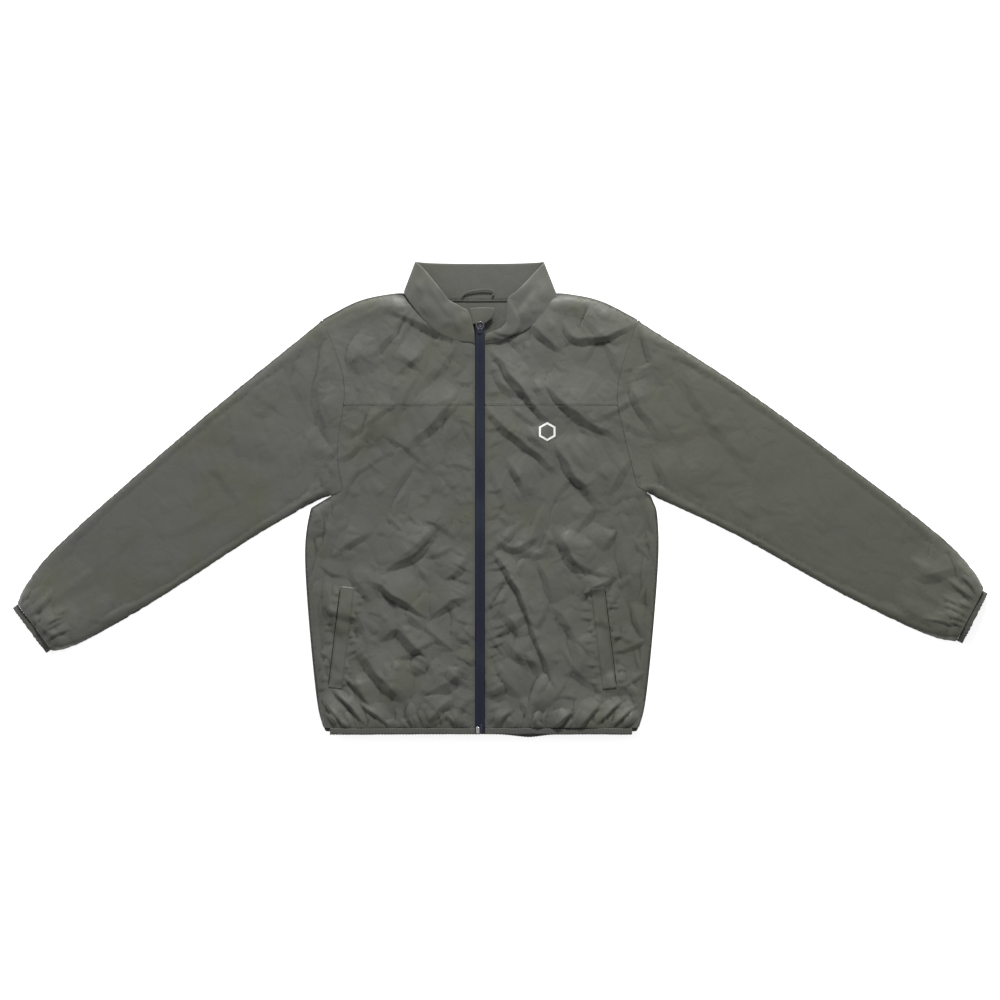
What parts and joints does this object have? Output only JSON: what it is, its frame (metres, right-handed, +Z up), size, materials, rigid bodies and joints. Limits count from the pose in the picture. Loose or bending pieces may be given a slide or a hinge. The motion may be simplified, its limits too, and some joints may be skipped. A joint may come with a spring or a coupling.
{
  "type": "windbreaker jacket",
  "caption": "Light nylon jacket laid flat: stand-up collar, full-length coated zip, chest yoke, slanted welt pockets, elastic-bound hem and cuffs.",
  "frame": {"origin": "on the underside of the back panel, on the centre-front line and at half the jacket's height", "axes": "+X towards the wearer's left sleeve, +Y towards the collar, +Z up out of the front"},
  "size_m": [1.4813, 0.7224, 0.0211],
  "materials": {
    "shell_cloth": "satin",
    "binding_cloth": "matte",
    "elastic_web": "matte",
    "pocket_lining": "matte",
    "zip_tape": "satin",
    "zip_coil": "satin",
    "dark_metal": "painted",
    "bright_metal": "bright",
    "white_print": "matte"
  },
  "bodies": {
    "torso": {"back_panel": "shell_cloth", "back_yoke": "shell_cloth", "collar_outer": "shell_cloth", "collar_inner": "shell_cloth", "neck_tape": "binding_cloth", "wind_flap": "shell_cloth", "chest_badge": "white_print", "front_panel_right": "shell_cloth", "front_yoke_right": "shell_cloth", "sleeve_cap_right": "shell_cloth", "pocket_welt_right": "shell_cloth", "pocket_bag_upper_right": "pocket_lining", "pocket_bag_lower_right": "pocket_lining", "hem_binding_front_right": "binding_cloth", "hem_elastic_front_right": "elastic_web", "zip_tape_right": "zip_tape", "zip_coil_right": "zip_coil", "zip_top_stop_right": "dark_metal", "front_panel_left": "shell_cloth", "front_yoke_left": "shell_cloth", "sleeve_cap_left": "shell_cloth", "pocket_welt_left": "shell_cloth", "pocket_bag_upper_left": "pocket_lining", "pocket_bag_lower_left": "pocket_lining", "hem_binding_front_left": "binding_cloth", "hem_elastic_front_left": "elastic_web", "zip_tape_left": "zip_tape", "zip_coil_left": "zip_coil", "zip_top_stop_left": "dark_metal", "hem_binding_back": "binding_cloth", "hem_elastic_back": "elastic_web", "zip_retainer_box": "bright_metal", "zip_insertion_pin": "bright_metal"},
    "slider": {"zip_slider": "dark_metal"},
    "pull_ring": {"zip_pull_ring": "dark_metal"},
    "hanger": {"hanger_loop": "binding_cloth"},
    "arm_right": {"sleeve_right": "shell_cloth", "cuff_binding_right": "binding_cloth", "cuff_elastic_right": "elastic_web"},
    "arm_left": {"sleeve_left": "shell_cloth", "cuff_binding_left": "binding_cloth", "cuff_elastic_left": "elastic_web"}
  },
  "joints": [
    {"name": "zip_slide", "type": "slide", "parent": "torso", "child": "slider", "axis": [0, -1, 0], "range_m": [0, 0.592]},
    {"name": "pull_ring_hinge", "type": "hinge", "parent": "slider", "child": "pull_ring", "pos_m": [0, 0.2584, 0.0193], "axis": [1, 0, 0], "range_deg": [0, 180]},
    {"name": "hanger_loop_hinge", "type": "hinge", "parent": "torso", "child": "hanger", "pos_m": [-0.003, 0.308, 0.0042], "axis": [1, 0, 0], "range_deg": [0, 180]},
    {"name": "right_sleeve_fold", "type": "hinge", "parent": "torso", "child": "arm_right", "pos_m": [-0.262, 0, 0.0183], "axis": [0, 1, 0], "range_deg": [0, 180]},
    {"name": "left_sleeve_fold", "type": "hinge", "parent": "torso", "child": "arm_left", "pos_m": [0.273, 0, 0.0273], "axis": [0, -1, 0], "range_deg": [0, 180]}
  ]
}
